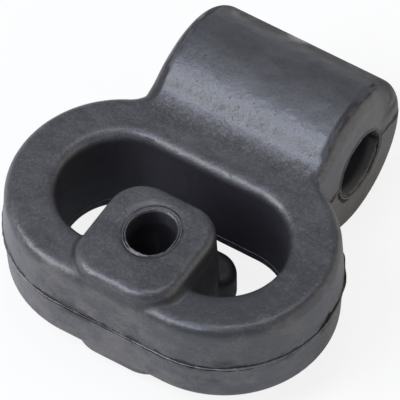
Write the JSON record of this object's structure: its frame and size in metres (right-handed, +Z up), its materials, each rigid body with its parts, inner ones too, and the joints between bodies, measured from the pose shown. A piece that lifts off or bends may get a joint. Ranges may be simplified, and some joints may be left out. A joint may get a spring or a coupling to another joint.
{
  "type": "exhaust hanger",
  "caption": "Moulded rubber exhaust hanger: oblong ring with an upright bored boss in its front side and a barrel with a level bore along its back side.",
  "frame": {"origin": "under the middle of the part's bounding box, at the height of the barrel's lowest line", "axes": "+Y from the boss towards the barrel, +X along the barrel's bore, +Z up along the boss's bore"},
  "size_m": [0.0698, 0.076, 0.033],
  "materials": {
    "rubber": "matt moulded black rubber, greyed by dust and handling"
  },
  "bodies": {
    "root": {"hanger": "rubber"}
  },
  "joints": []
}
